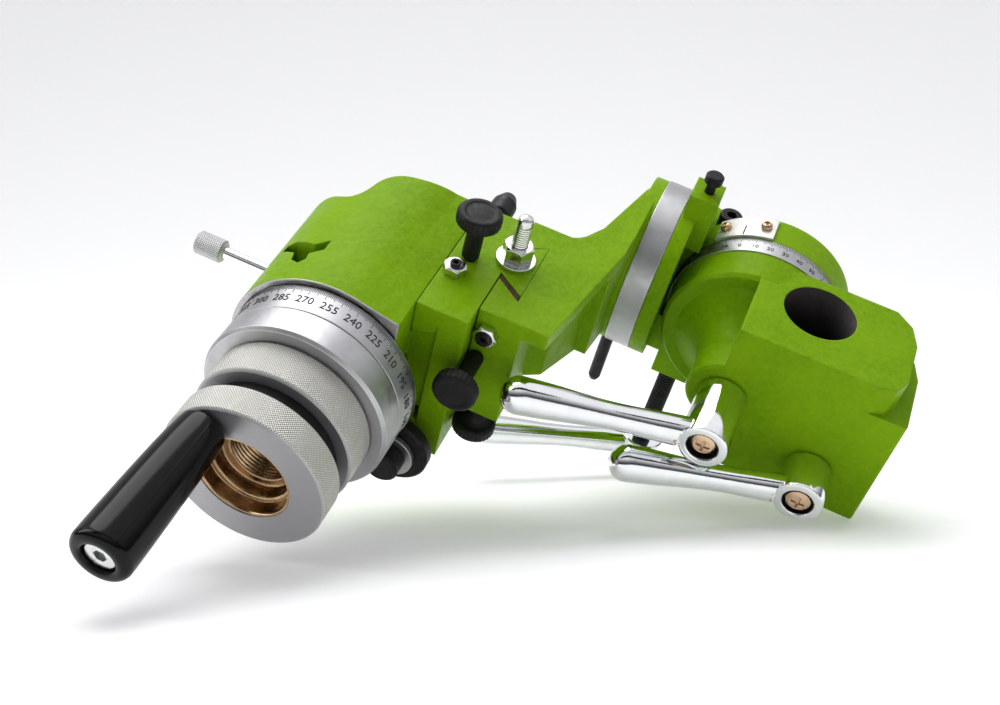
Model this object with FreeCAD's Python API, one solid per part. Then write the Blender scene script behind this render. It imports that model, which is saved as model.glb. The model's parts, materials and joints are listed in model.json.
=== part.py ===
import FreeCAD, Part
import math
import os

# Indexing work head of a tool and cutter grinder.
# It is drawn from the spindle: X = 0, Z = 0 is the spindle axis, which runs along Y, and Y = 0 is
# the back of the degree ring. The handwheel is towards -Y and the column clamp towards +X.
# save() then moves every piece so that the origin is the centre of the column bore.

V = FreeCAD.Vector
X_AXIS = V(1, 0, 0)
Y_AXIS = V(0, 1, 0)
Z_AXIS = V(0, 0, 1)

# ---------------------------------------------------------------- driving dimensions, millimetres
COLUMN_X = 196.0          # column bore axis, from the spindle axis
COLUMN_Y = 121.0
COLUMN_R = 18.0           # column bore radius
BLOCK_TOP = 42.0          # machined top of the clamp block, arm and cross block
BLOCK_BOTTOM = -42.0
BLOCK_X0 = 164.3
BORE_FRONT_Y = 86.5       # front face of the clamp block
PAN_FLANGE_Y = 128.0
PAN_DIAL_Y = 146.6
COLUMN_STUD_X = 221.0
COLUMN_STUD_Z = -22.3
COTTER_R = 9.0
SHELF_TOP = 25.5

PAN_X = 169.0             # pan swivel axis, along Y
PAN_FACE_Y = 157.5        # where the pan swivel's two halves meet
SWIVEL_R = 44.2           # outer radius of both swivels
HUB_R = 30.0              # raised hubs that carry the bare swivel rings
SPIGOT_R = 22.0
TILT_Y = 158.9            # tilt swivel axis, along X
TILT_FACE_X = 116.4       # where the tilt swivel's two halves meet
TILT_RING_X = 103.5       # back of the bare tilt ring

ELBOW_DISC_X1 = 124.3
ELBOW_DISC_Y1 = 176.0
ELBOW_STUD_X = 140.6
ELBOW_STUD_Y = 156.0
LUG_X0 = 131.0
LUG_BOTTOM = -57.0
EAR_TOP = 56.0
GUSSET_Z = 23.5
FINGER_X = 124.8
CAP_SCREW_X = 139.0
CAP_SCREW_Y = 184.0

DIAL_R = 45.0             # degree ring
FLANGE_R = 44.2           # plain flange in front of it
KNURL_R = 37.4            # knurled ring
WHEEL_R = 37.3            # handwheel
WHEEL_FRONT_Y = -74.2
WHEEL_BACK_Y = -58.7
WASHER_R = 31.0
HANDLE_X = -18.0          # handle axis, along Y
HANDLE_Z = 22.0
TUBE_R = 14.2             # draw tube
TUBE_BORE_R = 11.0

HOUSING_R = 47.5          # barrel radius at its front
HOUSING_BACK_R = 48.6     # and at its back
HOUSING_FRONT_Y = 0.8
HOUSING_BACK_Y = 98.0
HOUSING_SIDE_X = 30.0     # flat side that faces the cross block
LEAN_DEG = 78.0           # where the barrel runs into its flat top
JOURNAL_R = 25.0          # front journal
REAR_JOURNAL_R = 21.0
NOSE_R = 19.0             # rear nose of the spindle
NOSE_END_Y = 112.0
SPINDLE_BORE_R = 15.0
FRONT_BUSH_R = 31.0
REAR_BUSH_R = 27.0
SEAT_R = 22.0             # where rings sit on the spindle
DISC_R = 32.0             # index disc
DISC_Y0 = 36.0
DISC_Y1 = 48.6
NOTCHES = 24
NOTCH_DEPTH = 5.6
PIN_R = 2.9               # index pin
PIN_Y = 42.3
PIN_TIP_X = -32.8
PIN_BUSH_R = 5.0

CROSS_X0 = 30.3           # cross block between its two slides
CROSS_X1 = 55.0
CROSS_Y0 = 19.0
CROSS_BACK_Y = 98.5
CROSS_BOTTOM = -46.0
HALF_MOUTH = 23.0         # housing dovetail, half height at its root
HALF_TIP = 29.4           # and at its tip
TAIL_X = 41.9
ARM_X0 = 55.6             # slide plate of the arm
ARM_X1 = 77.0
ARM_Y0 = 31.0
ARM_BACK_Y = 102.0
ARM_BOTTOM = -20.5
TONGUE_X = 68.4           # lift dovetail: tip, with the Y of both corners of its root and tip
TONGUE_ROOT = (58.6, 79.6)
TONGUE_TIP = (48.8, 87.0)
GIB_THICK = 3.84
NUT_FLATS = 10.0
GIB_SCREW_R = 2.5

THUMB_R = 10.5            # thumb screws
THUMB_THICK = 7.5
THUMB_NECK_R = 5.0
THUMB_SHANK_R = 3.0
FRONT_THUMB = (59.6, 14.4)
LOWER_THUMB = (65.8, 36.5)
TOP_THUMB = (38.7, 60.0)
CROSS_NUT = (36.3, 47.1)
LIFT_NUT_AT = (61.6, 30.0)
REAR_SCREW = (37.2, 37.4)
LIFT_STUD = (57.5, 70.0)
LIFT_STUD_R = 4.0

STOP_X = 37.4             # stop knob below the dial
STOP_Z = -39.0
STOP_SCREW_R = 3.5
STOP_DISC_R = 18.0
STOP_DISC_BACK_Y = 11.6
TRAVERSE = 18.0           # travel of the housing towards the handwheel

LEVER_HUB_R = 12.0        # clamp levers
LEVER_BALL_R = 9.0
LEVER_SCREW_R = 3.0
SCREW_HEAD_R = 6.2
PAN_LEVER_FRONT = 48.4
COLUMN_LEVER_FRONT = 62.4
ELBOW_LEVER_TOP = -112.0
STUD_R = 5.0
PAN_BOLT_R = 6.0
BOLT_FRONT_Y = 63.0

PLATE_MID_DEG = 117.5     # middle of the zero plate, about the pan axis
PLATE_HALF_DEG = 19.3
PLATE_SCREW_DEG = 13.0
PLATE_THICK = 1.4
PLATE_Y0 = 157.9
PLATE_Y1 = 174.5

RUNNING = 0.05            # radial clearance of a running fit


# ------------------------------------------------------------------------------- small makers
def rod(start, axis, radius, length):
    """A solid cylinder from start along axis."""
    return Part.makeCylinder(radius, length, start, axis)


def tube(start, axis, outer, inner, length):
    """A ring or sleeve from start along axis."""
    return rod(start, axis, outer, length).cut(rod(start, axis, inner, length))


def block(x0, x1, y0, y1, z0, z1):
    """A box between two corners."""
    return Part.makeBox(x1 - x0, y1 - y0, z1 - z0, V(x0, y0, z0))


def face_of(points):
    """The flat face inside a closed outline of points."""
    return Part.Face(Part.makePolygon(points + [points[0]]))


def prism_along_y(outline, y0, y1):
    """An X-Z outline carried from y0 to y1."""
    points = [V(x, y0, z) for x, z in outline]
    return face_of(points).extrude(V(0, y1 - y0, 0))


def prism_along_z(outline, z0, z1):
    """An X-Y outline carried from z0 to z1."""
    points = [V(x, y, z0) for x, y in outline]
    return face_of(points).extrude(V(0, 0, z1 - z0))


def prism_along_x(outline, x0, x1):
    """A Y-Z outline carried from x0 to x1."""
    points = [V(x0, y, z) for y, z in outline]
    return face_of(points).extrude(V(x1 - x0, 0, 0))


def turned(profile, x=0.0, z=0.0):
    """A profile of (y, radius) points turned about the line through x, z along Y."""
    points = [V(x + radius, y, z) for y, radius in profile]
    return face_of(points).revolve(V(x, 0, z), Y_AXIS, 360)


def aimed(shape, start, axis):
    """A shape drawn along +Y from the origin, moved to start and turned to point along axis."""
    moved = shape.copy()
    moved.Placement = FreeCAD.Placement(start, FreeCAD.Rotation(Y_AXIS, axis))
    return moved


def hex_prism(start, axis, across_flats, length):
    """A hexagonal bar from start along axis."""
    corner = across_flats / math.sqrt(3)
    outline = []
    for step in range(6):
        angle = math.radians(60 * step)
        outline.append((corner * math.cos(angle), corner * math.sin(angle)))
    return aimed(prism_along_y(outline, 0, length), start, axis)


def socket_screw(start, axis, head_r, head_len, shank_r, shank_len, key):
    """A cap screw whose head stands from start along axis, with a hex socket in it."""
    head = turned([(0, 0), (0, head_r), (head_len - 0.6, head_r), (head_len, head_r - 0.6),
                   (head_len, 0)])
    shank = rod(V(0, -shank_len, 0), Y_AXIS, shank_r, shank_len)
    socket = hex_prism(V(0, head_len * 0.45, 0), Y_AXIS, key, head_len)
    return aimed(head.fuse(shank).cut(socket), start, axis)


def set_screw(start, axis, radius, proud, depth, key):
    """A headless screw that stands proud of start by a little."""
    body = rod(V(0, -depth, 0), Y_AXIS, radius, depth + proud)
    socket = hex_prism(V(0, proud - 2.5, 0), Y_AXIS, key, 3.0)
    return aimed(body.cut(socket), start, axis)


def hex_nut(start, axis, across_flats, thick, hole_r):
    """A nut with its corners turned off at the outer face."""
    corner = across_flats / math.sqrt(3)
    profile = [(0, 0), (0, corner), (thick - 0.9, corner), (thick, corner - 1.4), (thick, 0)]
    nut = hex_prism(V(0, 0, 0), Y_AXIS, across_flats, thick).common(turned(profile))
    return aimed(nut.cut(rod(V(0, -1, 0), Y_AXIS, hole_r, thick + 2)), start, axis)


def thumb_screw(start, axis, depth, reach):
    """A thumb screw: a crowned disc and neck that stand reach proud, on a shank depth deep."""
    edge = reach + THUMB_THICK
    profile = [(-depth, 0), (-depth, THUMB_SHANK_R), (2.0, THUMB_SHANK_R), (2.0, 4.2),
               (reach - 2.5, 4.2), (reach, THUMB_NECK_R), (reach, THUMB_R - 1.2),
               (reach + 1.2, THUMB_R), (edge - 1.6, THUMB_R), (edge - 0.4, THUMB_R - 1.6),
               (edge, THUMB_R - 4.0), (edge, 0)]
    return aimed(turned(profile), start, axis)


def cross_head_screw(start, axis, head_r, thread_r, depth):
    """A domed screw with a cross recess, its head standing from start along axis."""
    head = turned([(0, 0), (0, head_r), (1.6, head_r), (2.6, head_r * 0.72), (3.0, head_r * 0.3),
                   (3.0, 0)])
    body = head.fuse(rod(V(0, -depth, 0), Y_AXIS, thread_r, depth))
    arm = head_r * 1.1
    for width, length in ((1.3, arm), (arm, 1.3)):
        body = body.cut(block(-width / 2, width / 2, 1.4, 4.0, -length / 2, length / 2))
    return aimed(body, start, axis)


def clamp_lever(hub_start, hub_axis, hub_len, arm_root, ball, bore_r, bore_depth, recess):
    """A one-piece lever: a hub, and a waisted arm from arm_root that swells to a ball end."""
    hub = aimed(turned([(0, 0), (0, LEVER_HUB_R), (hub_len - 0.7, LEVER_HUB_R),
                        (hub_len, LEVER_HUB_R - 0.7), (hub_len, 0)]), hub_start, hub_axis)
    line = ball - arm_root
    reach = line.Length
    profile = [(0, 0), (0, 7.4), (reach * 0.2, 7.2), (reach * 0.45, 6.4), (reach * 0.62, 6.8),
               (reach * 0.85, 8.3), (reach, LEVER_BALL_R)]
    for step in range(1, 6):
        angle = math.radians(18 * step)
        profile.append((reach + LEVER_BALL_R * math.sin(angle), LEVER_BALL_R * math.cos(angle)))
    profile[-1] = (reach + LEVER_BALL_R, 0)
    lever = hub.fuse(aimed(turned(profile), arm_root, line))
    bore = rod(V(0, -1, 0), Y_AXIS, bore_r, bore_depth + 1)
    screw_hole = rod(V(0, 0, 0), Y_AXIS, LEVER_SCREW_R, hub_len)
    seat = rod(V(0, hub_len - recess, 0), Y_AXIS, 7.2, recess + 1)
    return lever.cut(aimed(bore.fuse(screw_hole).fuse(seat), hub_start, hub_axis)).removeSplitter()


def spread(pieces):
    """Several separate solids kept together in one node."""
    return Part.makeCompound(pieces)


os.makedirs("parts", exist_ok=True)
TO_COLUMN = V(-COLUMN_X, -COLUMN_Y, 0)


def save(name, shape):
    """Write one piece, measured from the column bore."""
    moved = shape.copy()
    moved.translate(TO_COLUMN)
    moved.exportStep("parts/" + name + ".step")


# ------------------------------------------------------------------------------- clamp block
def make_clamp_block():
    """Block round the column bore, joined to the pan flange and the lever boss."""
    upper = [(BLOCK_X0, BORE_FRONT_Y), (232.0, BORE_FRONT_Y), (239.5, 89.6), (243.5, 98.0),
             (243.5, 125.0), (239.5, 137.5), (231.0, 145.0), (BLOCK_X0, 145.0)]
    shelf = [(BLOCK_X0, BORE_FRONT_Y), (251.5, BORE_FRONT_Y), (251.5, 122.0), (248.0, 134.0),
             (239.0, 142.0), (229.0, 145.0), (BLOCK_X0, 145.0)]
    body = prism_along_z(upper, BLOCK_BOTTOM, BLOCK_TOP)
    body = body.fuse(prism_along_z(shelf, BLOCK_BOTTOM, SHELF_TOP))
    body = body.makeFillet(2.0, [edge for edge in body.Edges if abs(edge.tangentAt(0).z) > 0.99
                                 and edge.BoundBox.XMin > 225])
    flange = turned([(PAN_FLANGE_Y, 0), (PAN_FLANGE_Y, 40.5), (PAN_FLANGE_Y + 2.0, 42.3),
                     (PAN_DIAL_Y, SWIVEL_R - 0.6), (PAN_DIAL_Y, HUB_R), (PAN_FACE_Y, HUB_R),
                     (PAN_FACE_Y, SPIGOT_R), (PAN_FACE_Y + 5.5, SPIGOT_R), (PAN_FACE_Y + 5.5, 0)],
                    PAN_X, 0)
    boss = turned([(BORE_FRONT_Y, 0), (BORE_FRONT_Y, 17.0), (BORE_FRONT_Y + 1.2, 18.3),
                   (120.0, 18.3), (124.5, 20.0), (PAN_FLANGE_Y + 1.0, 25.0),
                   (PAN_FLANGE_Y + 1.0, 0)], PAN_X, 0)
    body = body.fuse(flange).fuse(boss)
    body = body.cut(rod(V(COLUMN_X, COLUMN_Y, -60), Z_AXIS, COLUMN_R, 120))
    body = body.cut(rod(V(PAN_X, 60, 0), Y_AXIS, PAN_BOLT_R + RUNNING, 120))
    body = body.cut(rod(V(COLUMN_STUD_X, 80, COLUMN_STUD_Z), Y_AXIS, COTTER_R, 57.1))
    return body.removeSplitter()


def make_cotter(y0, y1):
    """A clamp shoe beside the column: a plug with a stud hole and a hollow for the column."""
    start = V(COLUMN_STUD_X, y0, COLUMN_STUD_Z)
    plug = tube(start, Y_AXIS, COTTER_R, STUD_R, y1 - y0)
    return plug.cut(rod(V(COLUMN_X, COLUMN_Y, -60), Z_AXIS, COLUMN_R, 120))


save("clamp_block", make_clamp_block())
save("pan_dial", tube(V(PAN_X, PAN_DIAL_Y, 0), Y_AXIS, SWIVEL_R, HUB_R,
                      PAN_FACE_Y - 0.2 - PAN_DIAL_Y))
save("column_cotters", spread([make_cotter(92.0, 115.0), make_cotter(126.0, 137.0)]))
save("column_stud", rod(V(COLUMN_STUD_X, 70.0, COLUMN_STUD_Z), Y_AXIS, STUD_R, 67.0))

LEVER_HUB_BACK = BORE_FRONT_Y - 0.4
save("pan_lever", clamp_lever(V(PAN_X, LEVER_HUB_BACK, 0), -Y_AXIS,
                              LEVER_HUB_BACK - PAN_LEVER_FRONT, V(PAN_X, 56.6, 0),
                              V(85.4, 20.0, 13.0), PAN_BOLT_R + RUNNING, 24.0, 4.0))
save("pan_lever_screw", cross_head_screw(V(PAN_X, PAN_LEVER_FRONT + 4.0, 0), -Y_AXIS,
                                         SCREW_HEAD_R, LEVER_SCREW_R, 9.4))
save("column_lever", clamp_lever(V(COLUMN_STUD_X, LEVER_HUB_BACK, COLUMN_STUD_Z), -Y_AXIS,
                                 LEVER_HUB_BACK - COLUMN_LEVER_FRONT,
                                 V(COLUMN_STUD_X, 70.6, COLUMN_STUD_Z), V(140.3, 38.5, -18.5),
                                 STUD_R + RUNNING, 16.5, 3.0))
save("column_lever_screw", cross_head_screw(V(COLUMN_STUD_X, COLUMN_LEVER_FRONT + 3.0,
                                              COLUMN_STUD_Z), -Y_AXIS, SCREW_HEAD_R,
                                            LEVER_SCREW_R, 4.0))


# ------------------------------------------------------------------------------- elbow
def make_elbow():
    """Two discs at right angles, with a gusset behind, a lug below and an ear on top."""
    tilt_disc = rod(V(TILT_FACE_X + 0.1, TILT_Y, 0), X_AXIS, SWIVEL_R,
                    ELBOW_DISC_X1 - TILT_FACE_X - 0.1)
    pan_disc = rod(V(PAN_X, PAN_FACE_Y + 0.1, 0), Y_AXIS, SWIVEL_R,
                   ELBOW_DISC_Y1 - PAN_FACE_Y - 0.1)
    gusset = prism_along_z([(TILT_FACE_X + 2, 157.9), (150.0, 157.9), (172.0, 176.0),
                            (150.0, 187.0), (130.0, 197.0), (TILT_FACE_X + 2, 199.0)],
                           -GUSSET_Z, GUSSET_Z)
    lug = block(LUG_X0, 151.0, 147.5, 175.0, LUG_BOTTOM, -30.0)
    web = block(TILT_FACE_X + 3.0, LUG_X0 + 1, 148.5, 172.0, -43.0, -20.0)
    ear = block(TILT_FACE_X + 0.6, 131.5, 150.5, 168.0, 25.0, EAR_TOP)
    body = tilt_disc.fuse(pan_disc).fuse(gusset).fuse(lug).fuse(web).fuse(ear)
    body = body.cut(rod(V(PAN_X, 140, 0), Y_AXIS, SWIVEL_R + 0.5, PAN_FACE_Y + 0.1 - 140))
    body = body.cut(rod(V(PAN_X, PAN_FACE_Y, 0), Y_AXIS, SPIGOT_R + RUNNING, 5.8))
    body = body.cut(rod(V(PAN_X, 150, 0), Y_AXIS, PAN_BOLT_R, 40))
    body = body.cut(rod(V(PAN_X, ELBOW_DISC_Y1, 0), Y_AXIS, 11.5, 20))
    body = body.cut(rod(V(TILT_FACE_X, TILT_Y, 0), X_AXIS, 18.0 + RUNNING, 4.3))
    body = body.cut(rod(V(TILT_FACE_X, TILT_Y, 0), X_AXIS, STUD_R, 7.0))
    body = body.cut(rod(V(ELBOW_STUD_X, ELBOW_STUD_Y, -100), Z_AXIS, STUD_R, 54.0))
    body = body.cut(rod(V(FINGER_X, TILT_Y, EAR_TOP - 16), Z_AXIS, GIB_SCREW_R + RUNNING, 30))
    body = body.cut(rod(V(CAP_SCREW_X, CAP_SCREW_Y, 9.5), Z_AXIS, 3.0, 60))
    return body.removeSplitter()


def rim_point(degrees, radius, y):
    """A point at an angle round the pan axis."""
    angle = math.radians(degrees)
    return V(PAN_X + radius * math.cos(angle), y, radius * math.sin(angle))


def make_zero_plate():
    """A strip bent round the rim of the elbow's pan disc."""
    strip = tube(V(PAN_X, PLATE_Y0, 0), Y_AXIS, SWIVEL_R + PLATE_THICK, SWIVEL_R,
                 PLATE_Y1 - PLATE_Y0)
    corners = [V(PAN_X, PLATE_Y0, 0), rim_point(PLATE_MID_DEG - PLATE_HALF_DEG, 70.0, PLATE_Y0),
               rim_point(PLATE_MID_DEG + PLATE_HALF_DEG, 70.0, PLATE_Y0)]
    return strip.common(face_of(corners).extrude(V(0, PLATE_Y1 - PLATE_Y0, 0)))


elbow = make_elbow()
zero_plate = make_zero_plate()
plate_screws = []
for degrees in (PLATE_MID_DEG - PLATE_SCREW_DEG, PLATE_MID_DEG + PLATE_SCREW_DEG):
    outward = rim_point(degrees, 1.0, 0) - V(PAN_X, 0, 0)
    seat = rim_point(degrees, SWIVEL_R + PLATE_THICK, (PLATE_Y0 + PLATE_Y1) / 2)
    plate_screws.append(cross_head_screw(seat, outward, 2.9, 1.5, 7.0))
    hole = rod(seat - outward * 7.0, outward, 1.5, 9.0)
    elbow = elbow.cut(hole)
    zero_plate = zero_plate.cut(hole)
save("elbow", elbow)
save("zero_plate", zero_plate)
save("zero_plate_screws", spread(plate_screws))

pan_bolt = rod(V(PAN_X, BOLT_FRONT_Y, 0), Y_AXIS, PAN_BOLT_R, ELBOW_DISC_Y1 - BOLT_FRONT_Y)
pan_head = hex_prism(V(PAN_X, ELBOW_DISC_Y1, 0), Y_AXIS, 19.0, 7.5)
save("pan_bolt", pan_bolt.fuse(pan_head).removeSplitter())
save("elbow_stud", rod(V(ELBOW_STUD_X, ELBOW_STUD_Y, ELBOW_LEVER_TOP - 15.0), Z_AXIS, STUD_R, 81.0))
save("elbow_lever", clamp_lever(V(ELBOW_STUD_X, ELBOW_STUD_Y, ELBOW_LEVER_TOP), -Z_AXIS, 20.0,
                                V(ELBOW_STUD_X, ELBOW_STUD_Y, ELBOW_LEVER_TOP - 9.0),
                                V(56.5, 113.5, -118.5), STUD_R + RUNNING, 16.0, 2.0))
save("elbow_lever_screw", cross_head_screw(V(ELBOW_STUD_X, ELBOW_STUD_Y, ELBOW_LEVER_TOP - 18.0),
                                           -Z_AXIS, SCREW_HEAD_R, LEVER_SCREW_R, 2.0))
save("elbow_cap_screw", socket_screw(V(CAP_SCREW_X, CAP_SCREW_Y, GUSSET_Z), Z_AXIS, 6.0, 7.5,
                                     3.0, 14.0, 5.0))
finger_head = turned([(5.5, 0), (5.5, 3.6), (6.3, 4.6), (9.8, 4.6), (10.6, 3.8), (10.6, 0)])
finger_body = rod(V(0, -12.0, 0), Y_AXIS, GIB_SCREW_R, 18.0)
save("tilt_finger_screw", aimed(finger_head.fuse(finger_body), V(FINGER_X, TILT_Y, EAR_TOP), Z_AXIS))


# ------------------------------------------------------------------------------- arm
TILT_PIN_X = 103.4
TILT_PIN_Y = 142.5
TILT_PIN_R = 3.4


def tilt_disc(x0, x1, radius):
    """A disc about the tilt axis."""
    return rod(V(x0, TILT_Y, 0), X_AXIS, radius, x1 - x0)


def make_arm():
    """Slide plate with an overhanging top flange, and a neck that grows into the tilt disc."""
    plate = block(ARM_X0, ARM_X1, ARM_Y0, ARM_BACK_Y, ARM_BOTTOM, BLOCK_TOP)
    flange = prism_along_z([(ARM_X0, ARM_Y0), (88.6, ARM_Y0), (101.0, 106.0), (101.0, 118.0),
                            (90.0, 118.0), (78.0, 104.0), (75.0, ARM_BACK_Y),
                            (ARM_X0, ARM_BACK_Y)], 34.0, BLOCK_TOP)
    web = prism_along_z([(ARM_X1 - 1, 66.0), (84.5, 72.0), (100.0, 117.0), (84.0, 117.0),
                         (ARM_X1 - 1, 103.0)], ARM_BOTTOM, 35.0)
    neck_plan = prism_along_z([(76.0, 98.0), (99.0, 98.0), (101.5, 120.0), (101.5, 175.0),
                               (98.5, 172.0), (86.0, 118.0)], -50.0, 50.0)
    neck_side = prism_along_x([(98.0, ARM_BOTTOM), (98.0, BLOCK_TOP), (119.0, BLOCK_TOP),
                               (158.9, 43.4), (176.0, 38.0), (176.0, -38.0), (158.9, -43.4),
                               (132.0, -33.0), (118.0, ARM_BOTTOM)], 60.0, 110.0)
    body = plate.fuse(flange).fuse(web).fuse(neck_plan.common(neck_side))
    body = body.fuse(tilt_disc(96.5, TILT_RING_X, SWIVEL_R - 0.5))
    body = body.fuse(tilt_disc(TILT_RING_X, TILT_FACE_X, HUB_R))
    body = body.fuse(tilt_disc(TILT_FACE_X, TILT_FACE_X + 4.0, 18.0))
    pocket = [(ARM_X0 - 1, TONGUE_ROOT[0] + 0.7 - GIB_THICK),
              (TONGUE_X + 0.2, TONGUE_TIP[0] - 0.3 - GIB_THICK),
              (TONGUE_X + 0.2, TONGUE_TIP[1] + 0.25), (ARM_X0 - 1, TONGUE_ROOT[1] - 0.45)]
    body = body.cut(prism_along_z(pocket, -60, 60))
    body = body.cut(rod(V(90.0, TILT_Y, 0), X_AXIS, STUD_R + RUNNING, 40))
    body = body.cut(rod(V(80.0, TILT_Y, 0), X_AXIS, 9.2, 24.0))
    body = body.cut(rod(V(TILT_PIN_X, TILT_PIN_Y, -60), Z_AXIS, TILT_PIN_R, 32))
    thumb_x, thumb_z = FRONT_THUMB
    body = body.cut(rod(V(thumb_x, 20, thumb_z), Y_AXIS, THUMB_SHANK_R + RUNNING, 30))
    nut_x, nut_z = LIFT_NUT_AT
    body = body.cut(rod(V(nut_x, 20, nut_z), Y_AXIS, GIB_SCREW_R, 30))
    lower_x, lower_y = LOWER_THUMB
    body = body.cut(rod(V(lower_x, lower_y, -30), Z_AXIS, THUMB_SHANK_R + RUNNING, 24))
    return body.removeSplitter()


lift_gib = prism_along_z([(ARM_X0 + 0.1, 55.16), (TONGUE_X - 0.2, 45.46), (TONGUE_X - 0.2, 48.5),
                          (ARM_X0 + 0.1, 58.1)], ARM_BOTTOM, BLOCK_TOP - 0.5)
save("arm", make_arm().cut(lift_gib))
save("lift_gib", lift_gib)
tilt_ring = tube(V(TILT_RING_X, TILT_Y, 0), X_AXIS, SWIVEL_R, HUB_R, TILT_FACE_X - TILT_RING_X - 0.1)
save("tilt_ring", tilt_ring.cut(rod(V(TILT_PIN_X, TILT_PIN_Y, -60), Z_AXIS, TILT_PIN_R, 32)))
tilt_bolt = rod(V(92.0, TILT_Y, 0), X_AXIS, STUD_R, 31.4)
tilt_head = hex_prism(V(TILT_RING_X + 0.4, TILT_Y, 0), -X_AXIS, 15.0, 7.0)
save("tilt_bolt", tilt_bolt.fuse(tilt_head).removeSplitter())
pin_tip = turned([(0, 0), (0, 3.35), (34.0, 3.35), (36.5, 2.4), (37.5, 0)])
save("tilt_pin", aimed(pin_tip, V(TILT_PIN_X, TILT_PIN_Y, -38.0), -Z_AXIS))
lift_nut_at = V(LIFT_NUT_AT[0], ARM_Y0, LIFT_NUT_AT[1])
save("lift_gib_nut", hex_nut(lift_nut_at, -Y_AXIS, NUT_FLATS, 4.5, GIB_SCREW_R))
save("lift_gib_set_screw", set_screw(lift_nut_at, -Y_AXIS, GIB_SCREW_R, 5.6, 17.0, 2.5))
save("front_thumb_screw", thumb_screw(V(FRONT_THUMB[0], ARM_Y0, FRONT_THUMB[1]), -Y_AXIS, 18.0, 21.0))
save("lower_thumb_screw", thumb_screw(V(LOWER_THUMB[0], LOWER_THUMB[1], ARM_BOTTOM), -Z_AXIS,
                                      12.0, 9.0))


# ------------------------------------------------------------------------------- cross block
def make_cross_block():
    """Block with a dovetail groove for the housing and a dovetail tongue for the arm."""
    body = block(CROSS_X0, CROSS_X1, CROSS_Y0, CROSS_BACK_Y, CROSS_BOTTOM, BLOCK_TOP)
    tongue = [(CROSS_X1 - 1, 60.0), (CROSS_X1 - 1, 77.0), (ARM_X0, TONGUE_ROOT[1] - 0.6),
              (TONGUE_X, TONGUE_TIP[1]), (TONGUE_X, TONGUE_TIP[0]), (ARM_X0, TONGUE_ROOT[0] - 0.1)]
    body = body.fuse(prism_along_z(tongue, CROSS_BOTTOM, BLOCK_TOP))
    groove = [(CROSS_X0 - 1, -HALF_MOUTH + 0.3), (TAIL_X + 0.2, -HALF_TIP - 0.2),
              (TAIL_X + 0.2, HALF_TIP + 3.4), (CROSS_X0 - 1, HALF_MOUTH + 2.9)]
    body = body.cut(prism_along_y(groove, 0, 120))
    body = body.cut(rod(V(TOP_THUMB[0], TOP_THUMB[1], 20), Z_AXIS, THUMB_SHANK_R + RUNNING, 40))
    body = body.cut(rod(V(CROSS_NUT[0], CROSS_NUT[1], 20), Z_AXIS, GIB_SCREW_R, 40))
    body = body.cut(rod(V(LIFT_STUD[0], LIFT_STUD[1], 20), Z_AXIS, LIFT_STUD_R, 40))
    body = body.cut(rod(V(REAR_SCREW[0], CROSS_BACK_Y - 14, REAR_SCREW[1]), Y_AXIS, GIB_SCREW_R, 40))
    body = body.cut(rod(V(STOP_X, 10, STOP_Z), Y_AXIS, STOP_SCREW_R + RUNNING, 36))
    return body.removeSplitter()


cross_gib = prism_along_y([(CROSS_X0 + 0.1, HALF_MOUTH + 0.25), (TAIL_X, HALF_TIP + 0.1),
                           (TAIL_X, HALF_TIP + 3.2), (CROSS_X0 + 0.1, HALF_MOUTH + 3.35)],
                          CROSS_Y0 + 0.5, CROSS_BACK_Y - 0.5)
save("cross_block", make_cross_block().cut(cross_gib))
save("cross_gib", cross_gib)
cross_nut_at = V(CROSS_NUT[0], CROSS_NUT[1], BLOCK_TOP)
save("cross_gib_nut", hex_nut(cross_nut_at, Z_AXIS, NUT_FLATS, 4.5, GIB_SCREW_R))
save("cross_gib_set_screw", set_screw(cross_nut_at, Z_AXIS, GIB_SCREW_R, 5.6, 10.6, 2.5))
save("top_thumb_screw", thumb_screw(V(TOP_THUMB[0], TOP_THUMB[1], BLOCK_TOP), Z_AXIS, 9.0, 20.0))
rear_knob = turned([(0.2, 0), (0.2, 4.6), (2.0, 6.4), (12.0, 6.2), (18.0, 4.0), (19.4, 2.6),
                    (19.4, 0)])
rear_knob = rear_knob.fuse(rod(V(0, -13.5, 0), Y_AXIS, GIB_SCREW_R, 14.0))
save("rear_gib_screw", aimed(rear_knob, V(REAR_SCREW[0], CROSS_BACK_Y, REAR_SCREW[1]), Y_AXIS))

lift_stud_foot = V(LIFT_STUD[0], LIFT_STUD[1], 21.0)
lift_stud = rod(lift_stud_foot, Z_AXIS, LIFT_STUD_R, 44.0)
lift_stud = lift_stud.fuse(Part.makeSphere(LIFT_STUD_R, lift_stud_foot + V(0, 0, 44.0)))
save("lift_stud", lift_stud.removeSplitter())
washer_at = V(LIFT_STUD[0], LIFT_STUD[1], BLOCK_TOP)
save("lift_washer", tube(washer_at, Z_AXIS, 9.3, LIFT_STUD_R, 2.2))
save("lift_nut", hex_nut(washer_at + V(0, 0, 2.2), Z_AXIS, 13.0, 8.0, LIFT_STUD_R))

save("stop_knob", turned([(-8.0, 0), (-8.0, 7.2), (-6.8, 8.4), (0.2, 8.4), (1.2, 7.6),
                          (1.2, STOP_SCREW_R), (-4.0, STOP_SCREW_R), (-4.0, 0)], STOP_X, STOP_Z))
save("stop_collar", tube(V(STOP_X, 1.4, STOP_Z), Y_AXIS, 12.0, STOP_SCREW_R, 2.8))
save("stop_disc", turned([(4.6, STOP_SCREW_R), (4.6, STOP_DISC_R - 1.2), (5.8, STOP_DISC_R),
                          (STOP_DISC_BACK_Y - 1.0, STOP_DISC_R),
                          (STOP_DISC_BACK_Y, STOP_DISC_R - 1.0),
                          (STOP_DISC_BACK_Y, STOP_SCREW_R)], STOP_X, STOP_Z))
save("stop_screw", rod(V(STOP_X, -4.0, STOP_Z), Y_AXIS, STOP_SCREW_R, 48.0))


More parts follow.
